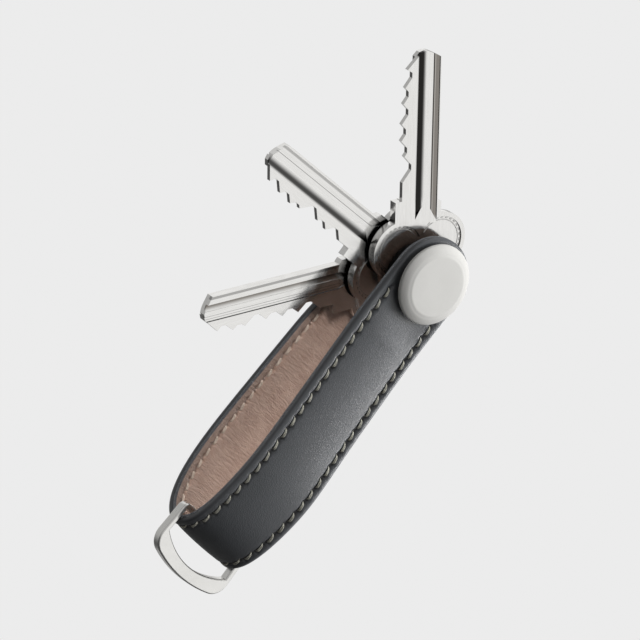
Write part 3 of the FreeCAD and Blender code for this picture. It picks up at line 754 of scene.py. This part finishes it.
# The lip between rim and neck as (inset from the rim, height over the neck).
LIP = ((0.0, 0.16), (0.07, 0.07), (0.22, 0.0), (NECK_INSET, -0.15))
SLOT_HALF_WIDTH, SLOT_HALF_LENGTH, SLOT_DEPTH = 0.9, 6.0, 0.9
# The coin slot as (height over the cap's face, share of its width). Its length changes less.
SLOT_LEVELS = ((-SLOT_DEPTH, 0.78), (-0.8 * SLOT_DEPTH, 0.95), (-0.1, 1.0), (0.0, 1.08),
               (0.5, 1.12))
SLOT_LENGTH_CHANGE = 0.3


def cap_profile(radius, thickness, back):
    """A cap's half section as (radius, height above its back), from the middle of its face."""
    flat = FLAT_SHARE * radius
    cone_out, cone_drop = BEVEL_SHARE * radius, BEVEL_DROP_SHARE * thickness
    rim_round = radius - cone_out
    points = [(0.0, thickness), (0.3 * radius, thickness), (flat - CREASE, thickness)]
    slope = math.atan2(cone_drop, cone_out - flat)
    for share in (0.33, 0.66, 1.0):
        angle = slope * share
        points.append((flat - CREASE + 2 * CREASE * share,
                       thickness - CREASE * math.tan(angle) * share))
    start_r, start_h = points[-1]
    for share in np.linspace(0, 1, 9)[1:]:
        r = start_r + (cone_out - start_r) * share
        fallen = (start_h - thickness + cone_drop) * share**BEVEL_STEEPENING
        points.append((r, start_h - fallen))
    low = points[-1][1]
    steep = math.atan2(BEVEL_STEEPENING * cone_drop, cone_out - start_r)
    reach = rim_round / (1 - math.sin(steep))
    drop = min(reach, (low - NECK_HEIGHT - LEAST_WALL) / math.cos(steep))
    for angle in np.linspace(steep, math.pi / 2, 7)[1:]:
        points.append((cone_out + reach * (math.sin(angle) - math.sin(steep)),
                       low - drop * (math.cos(steep) - math.cos(angle))))
    points += [(radius - inset, NECK_HEIGHT + height) for inset, height in LIP]
    points.append((radius - NECK_INSET, 0.0))
    return points + back


def lathe(name, profile, base, outward, body):
    """A piece turned about the post from a half section."""
    turns = np.radians(np.arange(0, 360, 2.5))
    radius = np.array([p[0] for p in profile])[:, None]
    height = np.array([p[1] for p in profile])[:, None]
    x, z = radius * np.cos(turns), radius * np.sin(turns)
    y = np.broadcast_to(base + outward * height, x.shape)
    points = np.stack([x, y, z], axis=-1).reshape(-1, 3)
    faces = grid_faces(len(profile), len(turns))
    piece = add_piece(name, points, faces, body)
    work = bmesh.new()
    work.from_mesh(piece.data)
    bmesh.ops.remove_doubles(work, verts=work.verts, dist=0.001 * MM)
    bmesh.ops.recalc_face_normals(work, faces=work.faces)
    for edge in work.edges:
        if len(edge.link_faces) == 2 and edge.calc_face_angle() > SHARP_FOLD:
            edge.smooth = False
    work.to_mesh(piece.data)
    work.free()
    return piece


def build_caps(coat):
    """Both caps, with seats behind them for the parts that the CAD holds there."""
    low, high = box_mm("front_cap")
    thickness = high.y - low.y
    radius = high.x
    flange = box_mm("post_barrel")[1].x + SEAT_GAP
    seat = [(flange, 0.0), (flange, FLANGE_SEAT), (0.0, FLANGE_SEAT)]
    front = lathe("front_disc", cap_profile(radius, thickness, seat), high.y, -1, "strap")
    front.data.materials.append(coat)
    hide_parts("front_cap")

    low, high = box_mm("rear_cap")
    lock_ring = box_mm("rear_lock_ring")[1]
    head = box_mm("rear_screw")[1]
    ring_seat = lock_ring.y - low.y + LOCK_RING_GAP
    head_seat = head.y - low.y
    ring_radius, head_radius = lock_ring.x + SEAT_GAP, head.x + SEAT_GAP
    back = [(ring_radius, 0.0), (ring_radius, ring_seat),
            (head_radius, ring_seat), (head_radius, head_seat), (0.0, head_seat)]
    rear = lathe("rear_disc", cap_profile(radius, thickness, back), low.y, 1, "coin_screw")
    rear.data.materials.append(coat)
    cut_coin_slot(rear, high.y)
    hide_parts("rear_cap")


def cut_coin_slot(piece, face):
    """Cuts the coin slot with round ends and a hollow floor."""
    reach = SLOT_HALF_LENGTH - SLOT_HALF_WIDTH
    turns = np.radians(np.arange(-90, 91, 10))
    right = [(reach + SLOT_HALF_WIDTH * math.cos(a), SLOT_HALF_WIDTH * math.sin(a))
             for a in turns]
    outline = right + [(-x, -z) for x, z in right]
    points = [(x * (1 + (scale - 1) * SLOT_LENGTH_CHANGE), face + level, z * scale)
              for level, scale in SLOT_LEVELS for x, z in outline]
    count = len(outline)
    faces = grid_faces(len(SLOT_LEVELS), count)
    faces += [tuple(range(count)), tuple(range(len(points) - count, len(points)))[::-1]]
    cut_away(piece, add_piece("slot_cutter", points, faces, "coin_screw"))
    piece.data.set_sharp_from_angle(angle=math.radians(32))


# ---------------------------------------------------------------- keys

# The way each key points from the post at rest, in degrees from +X to +Z.
KEY_DIRECTIONS = {"door_key_1": 136.1, "door_key_2": 183.25, "door_key_3": 226.5}
# Colours of the painted shade, reflection and highlight bands on the keys' front faces.
PAINTED_DARK_SHADE = (0.014, 0.013, 0.012)
PAINTED_BROWN_REFLECTION = (0.15, 0.13, 0.11)
PAINTED_PALE_HIGHLIGHT = (0.5, 0.48, 0.45)
# Painted shade, reflections and highlights along each key's front face as (start, full from,
# full to, none beyond, strength, colour), with the limits as offsets from the blade's axis
# towards the spine.
KEY_BANDS = {
    "door_key_1": (
        (-1.65, -1.15, -0.15, 0.85, 0.99, PAINTED_DARK_SHADE),
        (2.45, 2.6, 4.2, 4.25, 0.85, PAINTED_BROWN_REFLECTION),
        (2.40, 2.50, 2.84, 2.94, 0.8, PAINTED_DARK_SHADE),
        (2.94, 3.00, 3.12, 3.22, 0.85, PAINTED_PALE_HIGHLIGHT),
    ),
    "door_key_2": (
        (-1.75, -0.95, -0.60, 0.70, 0.93, PAINTED_DARK_SHADE),
        (2.02, 2.08, 2.14, 2.20, 0.8, PAINTED_DARK_SHADE),
        (3.3, 3.6, 3.95, 4.0, 0.45, PAINTED_DARK_SHADE),
    ),
    "door_key_3": (
        (3.7, 3.85, 4.35, 4.4, 0.5, PAINTED_DARK_SHADE),
        (1.25, 2.4, 2.6, 2.75, 0.88, PAINTED_BROWN_REFLECTION),
        (-0.02, 0.06, 0.14, 0.22, 0.75, PAINTED_DARK_SHADE),
        (-0.62, -0.55, -0.50, -0.43, 0.5, PAINTED_DARK_SHADE),
        (-1.20, -1.13, -1.03, -0.94, 0.75, PAINTED_DARK_SHADE),
    ),
}
# Each bow has a lobe on either side, with a recessed face that the raised line lies on.
LOBE_FORWARD, LOBE_SIDEWAYS = 6.9, 5.2
RECESS_DEPTH = 0.3
RIDGE_RADIUS, RIDGE_WIDTH, RIDGE_RISE, RIDGE_SUNK = 4.85, 0.22, 0.1, 0.01
RIDGE_START, RIDGE_END, RIDGE_STEP = -56, 165, 4    # degrees from the blade towards the spine
BAR_FROM_RIDGE, BAR_WIDTH = 0.45, 0.3
BARS_AFTER_START, BARS_BEFORE_END, BAR_STEP = 8, 16, 13
BAR_TURNS = np.radians((0, 1.5, 3.0, 4.5, 6.0))
KEY_EDGE_ROUND = 0.09


def bow_relief(node, body, direction):
    """A fine raised line round the inside of each bow lobe, with short bars outside it."""
    low, high = box_mm(node)
    along = np.array([math.cos(direction), 0, math.sin(direction)])
    spine = np.array([math.sin(direction), 0, -math.cos(direction)])
    points, faces = [], []

    def ridge(face, outward, side, radius, width, turns):
        """A low rounded ridge on an arc about a lobe's middle."""
        section = np.radians(np.linspace(0, 180, 7))
        first = len(points)
        for turn in turns:
            for a in section:
                reach = radius + width / 2 * math.cos(a)
                u = LOBE_FORWARD + reach * math.cos(turn)
                v = side * LOBE_SIDEWAYS + reach * math.sin(turn)
                rise = RIDGE_RISE * math.sin(a) - RIDGE_SUNK
                points.append(along * u + spine * v + np.array([0, face + outward * rise, 0]))
        faces.extend(grid_faces(len(turns), len(section), first, closed=False))

    for face, outward in ((low.y + RECESS_DEPTH, -1), (high.y - RECESS_DEPTH, 1)):
        for side in (-1, 1):
            start, end = (RIDGE_START, RIDGE_END) if side > 0 else (-RIDGE_END, -RIDGE_START)
            line = np.radians(np.arange(start, end, RIDGE_STEP))
            ridge(face, outward, side, RIDGE_RADIUS, RIDGE_WIDTH, line)
            bars = np.arange(start + BARS_AFTER_START, end - BARS_BEFORE_END, BAR_STEP)
            for bar in np.radians(bars):
                ridge(face, outward, side, RIDGE_RADIUS + BAR_FROM_RIDGE, BAR_WIDTH,
                      bar + BAR_TURNS)
    return add_piece(node + "_bow_relief", np.array(points), faces, body)


def build_keys():
    """Plates the CAD keys and adds the raised lines on their bows."""
    for index, (node, degrees) in enumerate(KEY_DIRECTIONS.items(), start=1):
        low, high = box_mm(node)
        direction = math.radians(degrees)
        material = nickel_material(f"nickel_{index}", direction, low.y, high.y, KEY_BANDS[node])
        dress(node, material)
        soften(node, KEY_EDGE_ROUND)
        relief = bow_relief(node, f"key_{index}", direction)
        relief.data.materials.append(material)


# ---------------------------------------------------------------- setting

BACKDROP = (0.838, 0.838, 0.838)
# The studio as (even brightness, panels), each panel as
# (direction, full within degrees, none beyond degrees, strength).
REFLECTED_STUDIO = (0.07, (
    ((0.72, -0.68, 0.14), 20, 34, 0.82),
    ((0.0, -0.15, 0.98), 20, 52, 0.82),
    ((-0.65, 0.72, 0.12), 20, 60, 0.36),
    ((0.45, 0.90, 0.10), 20, 50, 0.40),
    ((-0.85, -0.52, 0.10), 15, 45, 0.30),
    ((0.97, 0.08, 0.15), 12, 34, 0.45),
    ((0.07, 0.75, 0.65), 12, 30, 0.62),
    ((-0.12, -0.99, 0.08), 10, 44, 0.4),
))
SCATTERED_STUDIO = (0.06, (
    ((0.1, -0.35, 0.93), 10, 65, 0.8),
    ((-0.97, -0.22, 0.12), 25, 70, 0.05),
    ((0.97, -0.10, 0.25), 25, 65, 0.8),
    ((0.0, 0.95, 0.30), 10, 60, 0.5),
))

# Lights in metres, as (place, size, watts).
KEY_LIGHT = ((0.41, -0.59, 0.53), (0.35, 0.35), 5.8)
STRAP_LIGHT = ((0.27, -0.055, 0.10), (0.14, 0.14), 0.78)
LINING_LIGHT = ((-0.26, -0.24, 0.12), (0.12, 0.12), 1.3)
STRAP_AIM, LINING_AIM = (0, 0, -0.02), (0, 0, -0.04)

FLOOR_BELOW = 0.12
FLOOR_RINGS = (0.0, 0.2, 0.4, 0.6, 0.8, 1.0)
FLOOR_FADE = (0.35, 0.9)
FLOOR_EVENNESS = 0.8        # the share of the floor's brightness that no light changes

CAMERA_ANGLES = (-40.6, -5.8, 37.8)     # azimuth, elevation and roll in degrees
CAMERA_AIM = (-0.00974, 0.00268, -0.02068)
VIEW_WIDTH = 0.1362
LENS, SENSOR_WIDTH = 500, 36


def studio_world():
    """Plain pale background, with a soft studio round the object for light and reflections.

    The camera sees only the backdrop. Mirrored rays meet one set of panels, scattered ones
    the other.
    """
    world = bpy.data.worlds.new("studio")
    world.use_nodes = True
    tree = world.node_tree
    tree.nodes.clear()

    def node(kind, inputs=(), **settings):
        return add_node(tree, kind, inputs, **settings)

    direction = node("TexCoord").outputs["Generated"]

    def panels(ambient, boxes):
        """Brightness round the object: an even part and soft round panels."""
        total = node("Value").outputs[0]
        total.default_value = ambient
        for towards, inner, outer, strength in boxes:
            unit = Vector(towards).normalized()
            facing = node("VectorMath", {0: direction, 1: unit}, operation="DOT_PRODUCT")
            ramp = node("MapRange", {
                "Value": facing.outputs["Value"], "From Min": math.cos(math.radians(outer)),
                "From Max": math.cos(math.radians(inner)), "To Min": 0.0, "To Max": strength,
            }, interpolation_type="SMOOTHSTEP")
            total = node("Math", {0: total, 1: ramp.outputs[0]}, operation="ADD").outputs[0]
        return total

    path = node("LightPath").outputs
    mirrored = panels(*REFLECTED_STUDIO)
    scattered = panels(*SCATTERED_STUDIO)
    strength = node("Mix", {0: path["Is Glossy Ray"], 2: scattered, 3: mirrored}).outputs[0]
    seen = node("Background", {"Color": (*BACKDROP, 1.0), "Strength": 1.0})
    light = node("Background", {"Color": (1.0, 0.995, 0.985, 1.0), "Strength": strength})
    mixed = node("MixShader", {0: path["Is Camera Ray"], 1: light.outputs[0], 2: seen.outputs[0]})
    out = node("OutputWorld")
    tree.links.new(mixed.outputs[0], out.inputs["Surface"])
    scene.world = world


def area_light(name, place, size, power, aim, pieces=()):
    """A soft light; with pieces given it lights only them and shines on their surface."""
    data = bpy.data.lights.new(name, "AREA")
    data.shape = "RECTANGLE"
    data.size, data.size_y = size
    data.energy = power
    light = bpy.data.objects.new(name, data)
    light.location = place
    towards = Vector(aim) - Vector(place)
    light.rotation_euler = towards.to_track_quat("-Z", "Y").to_euler()
    light.visible_glossy = bool(pieces)
    scene.collection.objects.link(light)
    if pieces:
        lit = bpy.data.collections.new(name + "_receivers")
        for piece in pieces:
            lit.objects.link(piece)
        light.light_linking.receiver_collection = lit


def build_floor(centre, drop):
    """A large pale floor far under the object that fades into the backdrop."""
    turns = np.radians(np.arange(0, 360, 7.5))
    points = [(centre.x + r * math.cos(a), centre.y + r * math.sin(a), drop)
              for r in FLOOR_RINGS for a in turns]
    mesh = bpy.data.meshes.new("floor")
    mesh.from_pydata(points, [], grid_faces(len(FLOOR_RINGS), len(turns)))
    floor = bpy.data.objects.new("floor", mesh)
    scene.collection.objects.link(floor)
    s = Shader("pale_floor")
    away = s.node("VectorMath", {0: s.node("TexCoord").outputs["Object"]}, operation="LENGTH")
    fade = s.ramp(away.outputs["Value"], *FLOOR_FADE)
    paper = s.mix(s.noise(s.place(), 0.02, 3.0), (0.78, 0.78, 0.78), (0.81, 0.81, 0.81))
    s.finish(Base_Color=paper, Roughness=0.9)
    even = s.node("Emission", {"Color": (*BACKDROP, 1.0), "Strength": 1.0})
    lit = s.node("MixShader", {0: FLOOR_EVENNESS, 1: s.surface.outputs[0], 2: even.outputs[0]})
    clear = s.node("BsdfTransparent")
    mixed = s.node("MixShader", {0: fade, 1: lit.outputs[0], 2: clear.outputs[0]})
    output = s.tree.nodes["Material Output"]
    s.tree.links.new(mixed.outputs[0], output.inputs["Surface"])
    mesh.materials.append(s.material)
    floor.visible_glossy = False
    floor.visible_diffuse = False


def build_camera():
    """A long lens in front of the organiser, to its left and a little low, rolled over."""
    azimuth, elevation, roll = (math.radians(a) for a in CAMERA_ANGLES)
    back = Vector((math.sin(azimuth) * math.cos(elevation),
                   -math.cos(azimuth) * math.cos(elevation), math.sin(elevation)))
    right = Vector((0, 0, 1)).cross(back).normalized()
    up = back.cross(right)
    turned_right = right * math.cos(roll) + up * math.sin(roll)
    turned_up = back.cross(turned_right)
    data = bpy.data.cameras.new("camera")
    data.lens, data.sensor_width = LENS, SENSOR_WIDTH
    distance = VIEW_WIDTH * LENS / SENSOR_WIDTH
    camera = bpy.data.objects.new("camera", data)
    place = Vector(CAMERA_AIM) + back * distance
    axes = Matrix((turned_right, turned_up, back)).transposed().to_4x4()
    camera.matrix_world = Matrix.Translation(place) @ axes
    data.clip_start, data.clip_end = 0.01, 50
    scene.collection.objects.link(camera)
    scene.camera = camera


# ---------------------------------------------------------------- build

outside_pieces, lining_pieces = build_strap()
build_caps(cap_material())
build_keys()
dress("d_ring", ring_material())
steel = turned_steel_material()
for turned in ("post_barrel", "rear_screw"):
    dress(turned, steel)
nylon = plain_material("dark_nylon", (0.035, 0.035, 0.037), (0.06, 0.06, 0.062), 0.45)
for washer in ("front_spacer_1", "front_spacer_2", "key_washer_1", "key_washer_2",
               "rear_washer"):
    dress(washer, nylon)
    soften(washer, 0.08, 2)
dress("rear_lock_ring", plain_material("lock_rubber", (0.02, 0.02, 0.02), (0.035, 0.035, 0.035),
                                       0.7))

studio_world()
low_corner, high_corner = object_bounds()
middle = (low_corner + high_corner) / 2
build_floor(middle, low_corner.z - FLOOR_BELOW)
area_light("key_light", *KEY_LIGHT, middle)
area_light("strap_light", *STRAP_LIGHT, STRAP_AIM, outside_pieces)
area_light("lining_light", *LINING_LIGHT, LINING_AIM, lining_pieces)
build_camera()
scene.view_settings.view_transform = "Standard"
